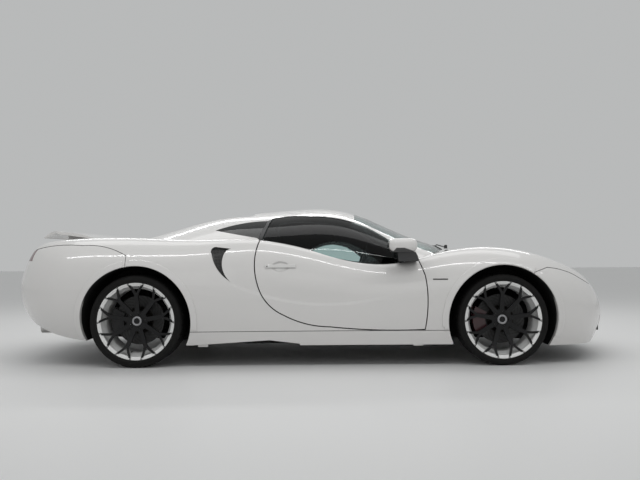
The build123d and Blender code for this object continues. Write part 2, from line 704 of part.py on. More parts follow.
def arms(axle):
    """Upper and lower arms of the right corner, each with its pin of the kingpin axis."""
    x, wall, r = axle["x"], -axle["wall"] - SEAT_GAP, axle["r"]
    pin_y = -axle["y"] + KINGPIN_IN
    parts = []
    for z, spread, pin in ((r - 120, 150, (-112, -80)), (r + 135, 110, (96, 127))):
        tip = pin_y - 16
        face = plan_face([(x - spread, wall), (x + spread, wall), (x + 20, tip), (x - 20, tip)])
        hole = plan_face([(x - spread + 50, wall + 30), (x + spread - 50, wall + 30), (x, pin_y + 70)])
        arm = upward(face, z - 12, z + 12) - upward(hole, z - 20, z + 20)
        parts.append(arm + cylinder_z(x, pin_y, KINGPIN_R, r + pin[0], r + pin[1]))
    return parts


def front_suspension():
    solids = []
    for part in arms(AXLES["front"]):
        solids += list(both(part).solids())
    return Compound(solids)


def rear_suspension():
    axle = AXLES["rear"]
    shape = place(axle, carrier(axle), -1)
    for part in arms(axle):
        shape = shape + part
    return both(shape)


# ---------------------------------------------------------------- cabin and engine
def engine_block():
    engine = box((-1120, -600), (-330, 330), (ENGINE_BAY[2][0] + SEAT_GAP, 780))
    return engine + box((-1620, -1120), (-190, 190), (260, 560))


def dashboard():
    """Dashboard, tunnel console, column and steering wheel."""
    shape = box((600, CABIN_FRONT_X - SEAT_GAP), (-740, 740), (520, 735))
    shape += box((-300, 640), (-110, 110), (FLOOR_TOP + SEAT_GAP, 430))
    column = rod((640, 370, 620), (420, 370, 690), 30)
    rim = Pos(410, 370, 693) * Rot(0, -72, 0) * Torus(180, 16)
    spokes = Pos(412, 370, 692) * Rot(0, -72, 0) * (Box(60, 340, 20) + Box(340, 50, 20))
    return shape + column + rim + spokes


def seats():
    base = box((-300, 230), (-640, -150), (FLOOR_TOP + SEAT_GAP, 340))
    back = side_face([(-300, 330), (-170, 330), (-290, 960), (-390, 960), (-420, 500)])
    shape = base + across(back, -640, -150)
    return both(shape)


def door_mirror():
    """Right door mirror: a rounded shell on a wedge-shaped foot that stands on the door's shoulder."""
    shell = fillet(box((525, 722), (-1085, -890), (806, 902)).edges(), 42)
    foot = across(side_face([(600, 740), (738, 740), (738, 775), (700, 850), (590, 850)]), -960, -800)
    foot = biggest(foot - over_hull - canopy_solid(-2 * SEAT_GAP))
    return biggest(shell + foot)


# ---------------------------------------------------------------- files
def save(name, shape):
    export_step(Compound(list(shape.solids())), f"parts/{name}.step")


os.makedirs("parts", exist_ok=True)

chassis = tub()
save("floor_pan", tub_part(CABIN_REAR_X, CABIN_FRONT_X))
save("front_frame", tub_part(CABIN_FRONT_X, LENGTH))
save("rear_frame", tub_part(-LENGTH, CABIN_REAR_X))

WHOLE = {
    "engine_block": engine_block,
    "front_bumper": front_bumper,
    "rear_bumper": rear_bumper,
    "roof_frame": roof_frame,
    "bonnet": bonnet,
    "engine_cover": engine_cover,
    "rear_spoiler": spoiler,
    "fixed_windows": fixed_windows,
    "headlamps": headlamps,
    "tail_lamps": tail_lamps,
    "grilles": grilles,
    "exhaust": exhaust,
    "wipers": wipers,
    "dashboard": dashboard,
    "seats": seats,
    "front_suspension": front_suspension,
    "rear_suspension": rear_suspension,
}
for name, make in WHOLE.items():
    save(name, make())

save("side_sills", both(sill()))

# right-hand pieces and their mirror images
HANDED = {
    "fender": fender,
    "quarter": quarter,
    "door": door,
    "door_window": door_window,
    "door_mirror": door_mirror,
}
for name, make in HANDED.items():
    right = make()
    save(f"{name}_right", right)
    save(f"{name}_left", mirrored(right))

for end, axle in AXLES.items():
    for name, shape in (("tyre", tyre(axle)), ("wheel", wheel(axle)), ("disc", disc(axle))):
        save(f"{name}_{end}_right", place(axle, shape, -1))
        save(f"{name}_{end}_left", place(axle, shape, 1))
for side, hand in ((-1, "right"), (1, "left")):
    save(f"knuckle_front_{hand}", place(AXLES["front"], carrier(AXLES["front"]), side))
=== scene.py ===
from math import atan2, cos, hypot, pi, radians, sin, tau

import bpy
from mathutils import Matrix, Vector


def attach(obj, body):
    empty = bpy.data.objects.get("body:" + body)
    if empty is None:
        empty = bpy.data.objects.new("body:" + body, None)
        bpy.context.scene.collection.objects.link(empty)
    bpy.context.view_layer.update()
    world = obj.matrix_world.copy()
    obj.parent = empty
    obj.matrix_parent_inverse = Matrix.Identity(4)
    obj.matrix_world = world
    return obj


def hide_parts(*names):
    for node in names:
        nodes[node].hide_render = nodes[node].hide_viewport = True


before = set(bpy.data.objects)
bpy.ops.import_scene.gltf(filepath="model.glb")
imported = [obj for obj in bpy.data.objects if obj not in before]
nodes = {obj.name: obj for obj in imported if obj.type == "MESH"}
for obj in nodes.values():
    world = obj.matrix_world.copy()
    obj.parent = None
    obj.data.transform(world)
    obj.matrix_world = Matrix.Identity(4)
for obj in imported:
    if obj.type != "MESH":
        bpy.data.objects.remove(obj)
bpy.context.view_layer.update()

# ---------------------------------------------------------------- chassis
# The tub of such a car is bonded aluminium: a floor between two rockers, bulkheads and inner wings.
# Everything behind the outer panels is sprayed with a dark, slightly rough stone guard.


class Value:
    """An output of a node. Arithmetic on it adds Math nodes to the same material."""

    def __init__(self, finish, socket):
        self.finish = finish
        self.socket = socket

    def math(self, operation, *inputs):
        return self.finish.node("ShaderNodeMath", {"operation": operation}, inputs)

    def __add__(self, other):
        return self.math("ADD", self, other)

    def __radd__(self, other):
        return self.math("ADD", other, self)

    def __sub__(self, other):
        return self.math("SUBTRACT", self, other)

    def __rsub__(self, other):
        return self.math("SUBTRACT", other, self)

    def __mul__(self, other):
        return self.math("MULTIPLY", self, other)

    def __rmul__(self, other):
        return self.math("MULTIPLY", other, self)

    def __truediv__(self, other):
        return self.math("DIVIDE", self, other)

    def __rtruediv__(self, other):
        return self.math("DIVIDE", other, self)

    def __pow__(self, other):
        return self.math("POWER", self, other)

    def __abs__(self):
        return self.math("ABSOLUTE", self)

    def sign(self):
        return self.math("SIGN", self)

    def wave(self):
        return self.math("SINE", self)

    def step(self, low, high):
        """0 below low, 1 above high and smooth between them; turned round if low is the greater."""
        ends = {"From Min": low, "From Max": high, "Value": self}
        return self.finish.node("ShaderNodeMapRange", {"interpolation_type": "SMOOTHSTEP"}, ends)


class Finish:
    """A procedural material: one Principled shader and the nodes that feed it."""

    def __init__(self, name, sockets):
        self.material = bpy.data.materials.new(name)
        self.material.use_nodes = True
        self.tree = self.material.node_tree
        self.shader = self.tree.nodes["Principled BSDF"]
        for socket, value in sockets.items():
            self.put(socket, value)

    def join(self, socket, value):
        if isinstance(value, Value):
            self.tree.links.new(value.socket, socket)
        else:
            socket.default_value = value

    def put(self, socket, value):
        self.join(self.shader.inputs[socket], value)

    def node(self, kind, settings=None, inputs=(), output=0):
        """Add a node, set it, then fill its sockets with numbers, colours or values."""
        made = self.tree.nodes.new(kind)
        for name, setting in (settings or {}).items():
            setattr(made, name, setting)
        pairs = inputs.items() if isinstance(inputs, dict) else enumerate(inputs)
        for key, value in pairs:
            self.join(made.inputs[key], value)
        return Value(self, made.outputs[output])

    def point(self):
        return self.node("ShaderNodeTexCoord", output="Object")

    def parts(self, vector):
        """The x, y and z of a vector."""
        return [self.node("ShaderNodeSeparateXYZ", {}, [vector], k) for k in range(3)]

    def axes(self):
        """Object coordinates in metres: x forwards, y to the left, z up."""
        return self.parts(self.point())

    def facing(self):
        """The direction the surface faces."""
        return self.parts(self.node("ShaderNodeTexCoord", output="Normal"))

    def radius(self, centre):
        """Distance from an axle's line, which runs along y through centre (x, z)."""
        x, _, z = self.axes()
        return ((x - centre[0]) ** 2 + (z - centre[1]) ** 2) ** 0.5

    def noise(self, scale, detail=3.0):
        inputs = {"Vector": self.point(), "Scale": scale, "Detail": detail}
        return self.node("ShaderNodeTexNoise", {}, inputs)

    def mix(self, share, first, second):
        """Colour first where share is 0, second where it is 1."""
        return self.node("ShaderNodeMix", {"data_type": "RGBA"}, {0: share, 6: first, 7: second}, 2)

    def bump(self, height):
        """Raise the surface by a height in metres."""
        self.put("Normal", self.node("ShaderNodeBump", {}, {"Distance": 1.0, "Height": height}))


def dress(finish, *names):
    """Give CAD nodes their finish."""
    for name in names:
        data = nodes[name].data
        data.materials.clear()
        data.materials.append(finish.material)


STONE_GUARD = (0.006, 0.006, 0.0065, 1.0)
STONE_GUARD_DUST = (0.020, 0.019, 0.018, 1.0)
stone_guard = Finish("stone_guard", {"Roughness": 0.8, "Specular IOR Level": 0.25})
stone_guard.put("Base Color", stone_guard.mix(stone_guard.noise(9.0), STONE_GUARD, STONE_GUARD_DUST))
stone_guard.bump(0.0006 * stone_guard.noise(260.0))
dress(stone_guard, "floor_pan", "front_frame", "rear_frame")

# ---------------------------------------------------------------- engine and exhaust
# Engine and gearbox are one cast block behind the seats, under the lid; two ribbed covers lie on it.
# The silencer is welded stainless steel across the tail, and its two pipes end in rolled tips.
HANDS = {"right": -1, "left": 1}


def only(thing):
    """Make a piece the one that is selected and active."""
    bpy.ops.object.select_all(action="DESELECT")
    thing.select_set(True)
    bpy.context.view_layer.objects.active = thing


def settle(name, finish, body, smooth=40.0):
    """Name the active piece, put its origin at the car's, dress it and hang it on its body."""
    thing = bpy.context.active_object
    thing.name = name
    bpy.ops.object.transform_apply(location=True, rotation=True, scale=True)
    bpy.ops.object.mode_set(mode="EDIT")
    bpy.ops.mesh.select_all(action="SELECT")
    bpy.ops.mesh.remove_doubles(threshold=0.00002)
    bpy.ops.mesh.normals_make_consistent(inside=False)
    bpy.ops.object.mode_set(mode="OBJECT")
    bpy.ops.object.shade_smooth_by_angle(angle=radians(smooth))
    thing.data.materials.clear()
    thing.data.materials.append(finish.material)
    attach(thing, body)
    return thing


def apply_all(thing):
    """Apply every modifier of a piece."""
    only(thing)
    for modifier in list(thing.modifiers):
        bpy.ops.object.modifier_apply(modifier=modifier.name)


def choose(thing, test):
    """Select the faces that pass a test, and open the piece on them."""
    only(thing)
    bpy.context.tool_settings.mesh_select_mode = (False, False, True)
    for polygon in thing.data.polygons:
        polygon.select = test(polygon)
    bpy.ops.object.mode_set(mode="EDIT")


def turned(profile, centre, along, steps):
    """Turn a profile of (radius, place along the axis) about the axis named, through centre."""
    k = "XYZ".index(along)
    lie = [(0, pi / 2, 0), (pi / 2, 0, 0), (0, 0, 0)][k]
    radius, place = profile[0]
    start = Vector(centre)
    start[k] += place
    bpy.ops.mesh.primitive_circle_add(vertices=steps, radius=radius, location=start, rotation=lie)
    bpy.ops.object.transform_apply(location=True, rotation=True, scale=True)
    bpy.context.tool_settings.mesh_select_mode = (True, False, False)
    bpy.ops.object.mode_set(mode="EDIT")
    bpy.ops.mesh.select_all(action="SELECT")
    for next_radius, next_place in profile[1:]:
        move, grow = Vector((0, 0, 0)), Vector((1, 1, 1)) * (next_radius / radius)
        move[k], grow[k] = next_place - place, 1.0
        bpy.ops.mesh.extrude_region_move(TRANSFORM_OT_translate={"value": move})
        bpy.ops.transform.resize(value=grow, center_override=centre)
        radius, place = next_radius, next_place
    bpy.ops.mesh.select_all(action="DESELECT")
    bpy.ops.object.mode_set(mode="OBJECT")
    return bpy.context.active_object


def block(low, high, round_off=0.0, turn=(0, 0, 0)):
    """A box between two corners with its edges rounded off, turned about its own middle."""
    low, high = Vector(low), Vector(high)
    bpy.ops.mesh.primitive_cube_add(size=1.0, location=(low + high) / 2, rotation=turn)
    thing = bpy.context.active_object
    thing.scale = high - low
    bpy.ops.object.transform_apply(location=False, rotation=False, scale=True)
    if round_off:
        edge = thing.modifiers.new("rounding", "BEVEL")
        edge.width = round_off
        edge.segments = 3
        edge.harden_normals = False
        apply_all(thing)
    return thing


def join(things):
    """Make one piece of several."""
    bpy.ops.object.select_all(action="DESELECT")
    for thing in things:
        thing.select_set(True)
    bpy.context.view_layer.objects.active = things[0]
    bpy.ops.object.join()
    return bpy.context.active_object


CAST = (0.30, 0.30, 0.31, 1.0)
CAST_DARK = (0.12, 0.12, 0.13, 1.0)
cast = Finish("cast_aluminium", {"Metallic": 0.9, "Roughness": 0.5})
cast.put("Base Color", cast.mix(cast.noise(14.0), CAST, CAST_DARK))
cast.bump(0.0004 * cast.noise(500.0))
dress(cast, "engine_block")

CRACKLE = (0.014, 0.014, 0.015, 1.0)
CRACKLE_WORN = (0.03, 0.03, 0.03, 1.0)
COVER_X = (-1.06, -0.66)
COVER_Y = (0.05, 0.28)
COVER_Z = (0.762, 0.806)
COVER_ROUND = 0.012
RIBS = 9
RIB_HALF = 0.006
RIB_MARGIN = 0.03  # from a cover's edges to its ribs
RIB_Z = (0.80, 0.814)
RIB_ROUND = 0.003
crackle = Finish("crackle_black", {"Roughness": 0.6})
crackle.put("Base Color", crackle.mix(crackle.noise(30.0), CRACKLE, CRACKLE_WORN))
crackle.bump(0.0005 * crackle.noise(900.0))
for hand, side in HANDS.items():
    y_low, y_high = sorted((side * COVER_Y[0], side * COVER_Y[1]))
    pieces = [block((COVER_X[0], y_low, COVER_Z[0]), (COVER_X[1], y_high, COVER_Z[1]), COVER_ROUND)]
    for k in range(RIBS):
        x = COVER_X[0] + RIB_MARGIN + k * (COVER_X[1] - COVER_X[0] - 2 * RIB_MARGIN) / (RIBS - 1)
        low = (x - RIB_HALF, y_low + RIB_MARGIN, RIB_Z[0])
        high = (x + RIB_HALF, y_high - RIB_MARGIN, RIB_Z[1])
        pieces.append(block(low, high, RIB_ROUND))
    join(pieces)
    settle(f"engine_top_cover_{hand}", crackle, "car")

STEEL = (0.52, 0.50, 0.47, 1.0)
STEEL_BLUED = (0.26, 0.24, 0.28, 1.0)
steel = Finish("exhaust_steel", {"Metallic": 1.0})
steel.put("Base Color", steel.mix(steel.noise(7.0), STEEL, STEEL_BLUED))
steel.put("Roughness", 0.22 + 0.15 * steel.noise(60.0))
dress(steel, "exhaust")

PIPE = (-2.080, 0.480, 0.250)  # end of a pipe: x, y, z
TIP = [(0.0460, 0.070), (0.0475, 0.066), (0.0475, -0.010), (0.0490, -0.016), (0.0480, -0.021)]
TIP += [(0.0445, -0.019), (0.0430, -0.010), (0.0420, -0.002)]
BORE = [(0.0422, -0.001), (0.0400, -0.002), (0.0001, -0.002)]
chrome = Finish("polished_steel", {"Metallic": 1.0})
chrome.put("Base Color", chrome.mix(chrome.noise(12.0), (0.62, 0.61, 0.59, 1.0), (0.55, 0.54, 0.53, 1.0)))
chrome.put("Roughness", 0.10 + 0.08 * chrome.noise(80.0))
soot = Finish("soot", {"Roughness": 0.9})
soot.put("Base Color", soot.mix(soot.noise(60.0), (0.010, 0.009, 0.008, 1.0), (0.028, 0.025, 0.023, 1.0)))
for hand, side in HANDS.items():
    pipe_end = (PIPE[0], side * PIPE[1], PIPE[2])
    turned(TIP, pipe_end, "X", 64)
    settle(f"exhaust_tip_{hand}", chrome, "car")
    turned(BORE, pipe_end, "X", 48)
    settle(f"exhaust_bore_{hand}", soot, "car")

# ---------------------------------------------------------------- brakes and hub carriers
# Cast-iron discs, turned on their faces and cross-drilled, run in calipers bolted behind the hubs.
# The carriers are cast aluminium; the calipers on them are enamelled dark red.
AXLES = {
    "front": {"x": 1.340, "y": 0.835, "z": 0.322, "width": 0.245},
    "rear": {"x": -1.260, "y": 0.825, "z": 0.328, "width": 0.285},
}
CALIPER_R = 0.112
IRON = (0.050, 0.050, 0.050, 1.0)
# dark iron of the disc's middle, also used as painted shade in the drill holes
IRON_DARK_AND_HOLE_SHADE = (0.020, 0.018, 0.016, 1.0)
ENAMEL = (0.040, 0.004, 0.007, 1.0)
ARM_COAT = (0.012, 0.012, 0.013, 1.0)
ARM_COAT_WORN = (0.03, 0.03, 0.03, 1.0)
DRILL_RINGS = 0.0125  # spacing of the rings of holes
DRILL_STARS = 24.0  # holes round a ring
arm_coat = Finish("coated_arms", {"Roughness": 0.6})
arm_coat.put("Base Color", arm_coat.mix(arm_coat.noise(30.0), ARM_COAT, ARM_COAT_WORN))
dress(arm_coat, "front_suspension", "rear_suspension")

for end, axle in AXLES.items():
    iron = Finish(f"turned_iron_{end}", {"Metallic": 1.0, "Roughness": 0.34})
    centre = (axle["x"], axle["z"])
    x, _, z = iron.axes()
    r = iron.radius(centre)
    turn = (z - centre[1]).math("ARCTAN2", z - centre[1], x - centre[0])
    round_ring = (turn * DRILL_STARS + r * (pi / DRILL_RINGS)).wave()
    # the holes are not cut in the mesh: they are painted dark as the shade inside them, and dented by the
    # bump
    holes = (round_ring * (r * (tau / DRILL_RINGS)).wave()).step(0.62, 0.72)
    face = r.step(0.098, 0.101) * (1.0 - holes * r.step(0.170, 0.168) * r.step(0.106, 0.108))
    iron.put("Base Color", iron.mix(face, IRON_DARK_AND_HOLE_SHADE, IRON))
    iron.bump(0.0001 * (r * 9000.0).wave() * face - 0.002 * holes)
    for hand in HANDS:
        dress(iron, f"disc_{end}_{hand}")

caliper = Finish("caliper_enamel", {"Roughness": 0.35})
x, _, z = caliper.axes()
centre = (AXLES["front"]["x"], AXLES["front"]["z"])
behind = caliper.radius(centre).step(CALIPER_R - 0.001, CALIPER_R) * x.step(1.300, 1.290)
caliper.put("Base Color", caliper.mix(behind, CAST_DARK, ENAMEL))
caliper.put("Metallic", 0.9 - 0.9 * behind)
caliper.put("Coat Weight", 0.6 * behind)
dress(caliper, "knuckle_front_left", "knuckle_front_right")

# ---------------------------------------------------------------- wheels
# Cast alloy wheels with nine forked spokes, lacquered black; the seat behind them is diamond-turned
# bright, and shows as a ring of silver segments between the forks. Five steel nuts hold each wheel.
SPOKES = 9
FORK_PHASE = 0.233  # minus the cosine of nine times the angle from a spoke's middle to an end of its fork
BLACK_LACQUER = (0.004, 0.004, 0.0045, 1.0)
TURNED_RIM = (0.80, 0.80, 0.79, 1.0)
for end, axle in AXLES.items():
    rim = Finish(f"wheel_lacquer_{end}", {"Coat Roughness": 0.05, "Specular IOR Level": 0.25})
    x, _, z = rim.axes()
    facing_x, _, facing_z = rim.facing()
    r = rim.radius((axle["x"], axle["z"]))
    away_x, away_z = x - axle["x"], z - axle["z"]
    inward = (facing_x * away_x + facing_z * away_z) / r
    across = abs(facing_x * away_z - facing_z * away_x) / r
    bright = inward.step(-0.22, -0.34) * across.step(0.24, 0.16) * r.step(0.2270, 0.2278)
    turn = away_z.math("ARCTAN2", away_z, away_x)
    fork_end = abs((turn * SPOKES).wave() + FORK_PHASE).step(0.27, 0.22)
    flange = r.step(0.2600, 0.2606) * (1.0 - fork_end * r.step(0.2722, 0.2718))
    turned_face = bright + flange - bright * flange
    rim.put("Base Color", rim.mix(turned_face, BLACK_LACQUER, TURNED_RIM))
    rim.put("Metallic", 0.25 * turned_face)
    rim.put("Roughness", 0.34 + 0.04 * (r * 5000.0).wave() * turned_face)
    rim.put("Coat Weight", 0.12 + 0.2 * turned_face)
    for hand in HANDS:
        dress(rim, f"wheel_{end}_{hand}")

LUGS = 5
LUG_CIRCLE_R = 0.057
NUT = [(0.0005, 0.0175), (0.0065, 0.0170), (0.0100, 0.0150), (0.0112, 0.0125), (0.0112, -0.0100)]
NUT_PLACE = 0.0615  # outer end of a nut behind the wheel's outer edge
CAP = [(0.0005, -0.0005), (0.0150, -0.0008), (0.0200, -0.0016), (0.0212, 0.0006), (0.0235, 0.0024)]
CAP += [(0.0300, 0.0026), (0.0330, 0.0012), (0.0345, -0.0020), (0.0345, -0.0160)]
CAP_PLACE = 0.0335
VALVE_R = 0.2210
VALVE = [(0.0005, 0.022), (0.0035, 0.022), (0.0042, 0.020), (0.0042, 0.004)]
VALVE += [(0.0060, 0.002), (0.0060, -0.006)]
zinc = Finish("plated_nut", {"Metallic": 1.0, "Roughness": 0.28})
zinc.put("Base Color", zinc.mix(zinc.noise(300.0), (0.42, 0.42, 0.42, 1.0), (0.56, 0.56, 0.55, 1.0)))
for end, axle in AXLES.items():
    cap = Finish(f"wheel_cap_{end}", {"Metallic": 0.8, "Roughness": 0.32})
    r = cap.radius((axle["x"], axle["z"]))
    ring = r.step(0.0205, 0.0212)
    cap.put("Base Color", cap.mix(ring, (0.02, 0.02, 0.022, 1.0), (0.34, 0.34, 0.35, 1.0)))
    face = axle["y"] + axle["width"] / 2 - 0.008
    for hand, side in HANDS.items():
        body = f"wheel_{end}_{hand}"
        nuts = []
        for k in range(LUGS):
            turn = tau * k / LUGS
            x = axle["x"] + LUG_CIRCLE_R * cos(turn)
            z = axle["z"] + LUG_CIRCLE_R * sin(turn)
            profile = [(radius, side * place) for radius, place in NUT]
            nuts.append(turned(profile, (x, side * (face - NUT_PLACE + 0.008), z), "Y", 6))
        join(nuts)
        settle(f"wheel_nuts_{end}_{hand}", zinc, body, smooth=20)
        profile = [(radius, side * place) for radius, place in CAP]
        turned(profile, (axle["x"], side * (face - CAP_PLACE), axle["z"]), "Y", 48)
        settle(f"wheel_cap_{end}_{hand}", cap, body)
        profile = [(radius, side * place) for radius, place in VALVE]
        turned(profile, (axle["x"] - 0.045, side * (face - 0.075), axle["z"] - VALVE_R), "Y", 16)
        settle(f"tyre_valve_{end}_{hand}", crackle, body)

# ---------------------------------------------------------------- tyres
# Low-profile road tyres of black rubber: four grooves round the tread, blocks cut into its shoulders,
# a raised band on the wall and a small lip that guards the wheel's edge.
SECTORS = 180  # of the mesh round a tyre; every third one has a slot between two shoulder blocks
GROOVES = (-0.27, -0.09, 0.09, 0.27)  # places of the grooves as shares of the width
CUT_DEPTH = 0.0045
RUBBER = (0.006, 0.006, 0.006, 1.0)
RUBBER_DUSTY = (0.014, 0.0135, 0.013, 1.0)


def tyre_profile(radius, width):
    """Closed outline of a tyre as (radius, place across it), from the inner bead round the tread."""
    half = width / 2
    rim = half - 0.008
    wall = [(0.2564, rim - 0.0146), (0.2734, rim - 0.0084), (0.2736, rim + 0.0004)]
    wall += [(0.2765, rim + 0.0036), (0.2800, rim + 0.0050)]
    wall += [(0.2830, half - 0.0018), (0.2880, half - 0.0012), (0.2890, half - 0.0004)]
    wall += [(0.2990, half), (0.3000, half - 0.0010), (radius - 0.0180, half - 0.0020)]
    wall += [(radius - 0.0172, half - 0.0032), (radius - 0.0110, half - 0.0050)]
    wall += [(radius - 0.0030, half - 0.0150), (radius, half - 0.0280)]
    left = [(r, -y) for r, y in wall]
    tread = []
    for share in GROOVES:
        y = share * width
        tread += [(radius, y - 0.005), (radius - 0.006, y - 0.004)]
        tread += [(radius - 0.006, y + 0.004), (radius, y + 0.005)]
    return left + tread + wall[::-1] + left[:1]


def in_slot(away, axle):
    """Whether a face that lies away from the tyre's middle is on the shoulder and in every third sector."""
    sector = int((atan2(away.z, away.x) % tau) / tau * SECTORS)
    on_shoulder = abs(away.y) > GROOVES[-1] * axle["width"] + 0.006
    on_top = hypot(away.x, away.z) > axle["z"] - 0.0022
    return sector % 3 == 0 and on_shoulder and on_top


for end, axle in AXLES.items():
    rubber = Finish(f"tyre_rubber_{end}", {"Roughness": 0.8, "Specular IOR Level": 0.2})
    r = rubber.radius((axle["x"], axle["z"]))
    rubber.put("Base Color", rubber.mix(rubber.noise(25.0), RUBBER, RUBBER_DUSTY))
    rubber.bump(0.0004 * (r * 2600.0).wave() * r.step(0.287, 0.289) * r.step(0.300, 0.298))
    for hand, side in HANDS.items():
        centre = (axle["x"], side * axle["y"], axle["z"])
        tyre = turned(tyre_profile(axle["z"], axle["width"]), centre, "Y", SECTORS)
        choose(tyre, lambda face: in_slot(face.center - Vector(centre), axle))
        bpy.ops.mesh.inset(thickness=0.0032, depth=-CUT_DEPTH)
        bpy.ops.object.mode_set(mode="OBJECT")
        settle(f"tyre_tread_{end}_{hand}", rubber, f"wheel_{end}_{hand}", smooth=35)
        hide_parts(f"tyre_{end}_{hand}")

# ---------------------------------------------------------------- body panels
# Moulded composite and pressed aluminium panels, sprayed pearl white under a thick clear lacquer.
# A faint crease sweeps from the side intake across the door, and a shallow bowl lies behind each handle.
PEARL = (0.70, 0.695, 0.68, 1.0)
PEARL_WARM = (0.73, 0.71, 0.70, 1.0)
# near black: the bare inner sides of the panels, and painted shade on their faces turned downwards
BARE_INSIDE_AND_UNDERSIDE_SHADE = (0.010, 0.010, 0.011, 1.0)
CREASE_HEIGHT = 0.013
HANDLE_BOWL = {"x": -0.236, "z": 0.708, "long": 0.066, "high": 0.040, "deep": 0.012}
RED_LENS = (0.075, 0.002, 0.005, 1.0)
# red lens at a tail corner
MARKER = {"rear": -2.125, "front": -2.060, "sweep": 0.034, "low": 0.757, "high": 0.847, "inner": 0.690}
# front edge of the black post behind a door
GLAZED_POST = {"foot": (-0.378, 0.876), "head": (-0.318, 1.070)}


def pearl_paint(name):
    """Pearl white outside. Near black on faces turned inwards, the panels' bare inner sides, and on faces
    turned downwards, as painted shade under the body. Returns the finish, that dark share and the outer
    colour.
    """
    made = Finish(name, {"Coat Roughness": 0.02})
    _, y, _ = made.axes()
    _, facing_y, facing_z = made.facing()
    # faces turned inwards are the bare inner sides; faces turned downwards are painted near black as shade
    # under the body
    inner = (facing_y * y.sign() + facing_z).step(-0.25, -0.45)
    outside = made.mix(made.noise(3.0), PEARL, PEARL_WARM)
    made.put("Base Color", made.mix(inner, outside, BARE_INSIDE_AND_UNDERSIDE_SHADE))
    made.put("Roughness", 0.34 + 0.3 * inner)
    made.put("Coat Weight", 1.0 - inner)
    return made, inner, outside


paint, _, _ = pearl_paint("pearl_white")
x, y, z = paint.axes()
side = abs(y).step(0.86, 0.90)
rise = z - (0.442 + 0.314 * (x - 0.10) ** 2)
sweep = rise.step(-0.016, 0.012) * rise.step(0.18, 0.0) * x.step(-0.62, -0.52) * x.step(0.60, 0.15)
long = ((x - HANDLE_BOWL["x"]) / HANDLE_BOWL["long"]) ** 2
high = ((z - HANDLE_BOWL["z"]) / HANDLE_BOWL["high"]) ** 2
bowl = (long + high).step(1.0, 0.3) * HANDLE_BOWL["deep"]
paint.bump(-1.0 * (CREASE_HEIGHT * sweep + bowl) * side)
PAINTED = ["front_bumper", "side_sills", "bonnet", "engine_cover"]
PAINTED += [f"{name}_{hand}" for name in ("fender", "quarter", "door") for hand in HANDS]
dress(paint, *PAINTED)

tail_paint, inner, outside = pearl_paint("pearl_white_tail")
x, y, z = tail_paint.axes()
share_up = (z - MARKER["low"]) / (MARKER["high"] - MARKER["low"])
marker_edge = MARKER["front"] + MARKER["sweep"] * share_up ** 2
marker = (x - marker_edge).step(0.001, -0.001) * x.step(MARKER["rear"] - 0.001, MARKER["rear"])
marker = marker * z.step(MARKER["low"], MARKER["low"] + 0.002)
marker = marker * z.step(MARKER["high"], MARKER["high"] - 0.002)
marker = marker * abs(y).step(MARKER["inner"], MARKER["inner"] + 0.002)
shown = tail_paint.mix(marker, outside, RED_LENS)
# the inner share is the bare inner sides plus painted shade on faces turned downwards
tail_paint.put("Base Color", tail_paint.mix(inner, shown, BARE_INSIDE_AND_UNDERSIDE_SHADE))
dress(tail_paint, "rear_bumper")

plain_paint = Finish("pearl_white_plain", {"Roughness": 0.34, "Coat Weight": 1.0, "Coat Roughness": 0.02})
plain_paint.put("Base Color", plain_paint.mix(plain_paint.noise(3.0), PEARL, PEARL_WARM))
dress(plain_paint, "rear_spoiler")

roof_paint, inner, outside = pearl_paint("pearl_white_roof")
x, y, z = roof_paint.axes()
foot_x, foot_z = GLAZED_POST["foot"]
head_x, head_z = GLAZED_POST["head"]
slant = (head_x - foot_x) / (head_z - foot_z)
behind_door = x - (foot_x + slant * (z - foot_z))
post = behind_door.step(-0.062, -0.060) * behind_door.step(0.020, 0.018)
post = post * (z - (foot_z - 0.97 * (x - foot_x))).step(0.002, 0.004)
post = post * (z - (head_z + 0.41 * (x - head_x))).step(-0.002, -0.004)
# the inner share is the roof's inner side plus painted shade on faces turned downwards
dark = 1.0 - (1.0 - post) * (1.0 - inner)
roof_paint.put("Base Color", roof_paint.mix(dark, outside, BARE_INSIDE_AND_UNDERSIDE_SHADE))
roof_paint.put("Coat Weight", 1.0 - dark)
dress(roof_paint, "roof_frame")

mirror_paint, inner, outside = pearl_paint("pearl_white_mirror")
x, _, z = mirror_paint.axes()
facing_x, _, _ = mirror_paint.facing()
glass = facing_x.step(-0.96, -0.985)
front_line = (z - (0.850 - 0.336 * (x - 0.586))).step(-0.002, 0.002)
rear_line = (z - (0.788 + 1.127 * (x - 0.531))).step(-0.002, 0.002)
shell = 1.0 - (1.0 - front_line) * (1.0 - rear_line) * z.step(0.838, 0.834)
# the inner share is the bare inner sides plus painted shade on faces turned downwards
dark = (1.0 - shell) + inner - (1.0 - shell) * inner
mirror_colour = mirror_paint.mix(dark, outside, BARE_INSIDE_AND_UNDERSIDE_SHADE)
mirror_paint.put("Base Color", mirror_paint.mix(glass * shell, mirror_colour, (0.75, 0.77, 0.78, 1.0)))
mirror_paint.put("Metallic", glass * shell)
mirror_paint.put("Roughness", 0.34 - 0.30 * glass * shell)
dress(mirror_paint, "door_mirror_left", "door_mirror_right")

TRIM_BLACK = (0.008, 0.008, 0.008, 1.0)
TRIM_GREY = (0.016, 0.016, 0.016, 1.0)
trim = Finish("black_trim", {"Roughness": 0.38})
trim.put("Base Color", trim.mix(trim.noise(40.0), TRIM_BLACK, TRIM_GREY))
dress(trim, "grilles", "wipers")

# ---------------------------------------------------------------- door handles and fender trims
# The handles are moulded and sprayed with the doors, with a keyhole in the rear end of each. A slim black
# trim is stuck on each fender, behind its wheel.
STRIP_Y = 3.0  # strips start here, outside the body, and are pressed inwards
MISSED_Y = 1.03  # a face still out here met no skin
STEEP = 0.55  # a face turned further from the side than this has caught a panel's edge


